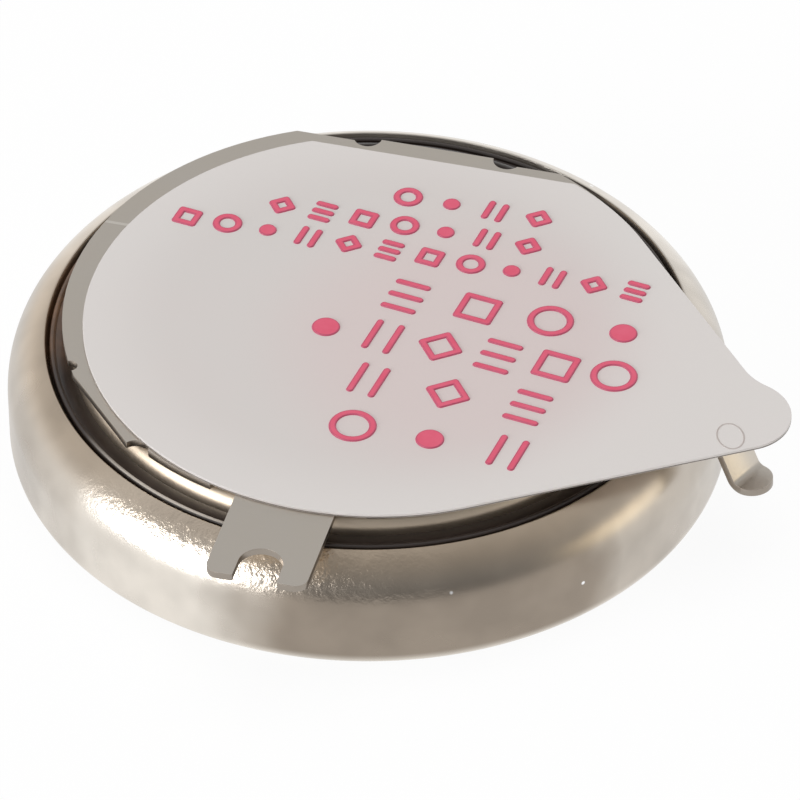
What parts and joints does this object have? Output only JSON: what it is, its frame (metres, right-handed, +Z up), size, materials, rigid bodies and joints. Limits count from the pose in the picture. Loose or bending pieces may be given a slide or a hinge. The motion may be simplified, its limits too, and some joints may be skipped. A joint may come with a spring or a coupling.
{
  "type": "rechargeable watch coin cell with lead plate",
  "caption": "Flat round rechargeable cell with a crimped metal can, a welded lead plate with forked tab and spring arm, and a pale insulating film with a tail.",
  "frame": {"origin": "centre of the can's flat base", "axes": "+Z up through the cap, +X towards the film's tail and the contact arm, -Y towards the forked tab"},
  "size_m": [0.0105, 0.01, 0.0019],
  "materials": {
    "can_steel": "nickel-plated drawn steel, satin with fine scuffs",
    "gasket_plastic": "glossy dark moulded plastic",
    "cap_steel": "bright drawn steel",
    "carbon_layer": "matt conductive carbon layer",
    "cathode_pellet": "pressed powder",
    "separator_felt": "non-woven",
    "anode_pellet": "pressed powder",
    "lead_steel": "satin rolled steel sheet",
    "film_plastic": "satin pale film",
    "print_ink": "screen-printed ink"
  },
  "bodies": {
    "root": {"can": "can_steel", "gasket": "gasket_plastic", "cap": "cap_steel", "cathode_collector": "carbon_layer", "cathode": "cathode_pellet", "separator": "separator_felt", "anode": "anode_pellet", "anode_collector": "carbon_layer", "lead_plate": "lead_steel", "film": "film_plastic", "print_marks": "print_ink"}
  },
  "joints": []
}
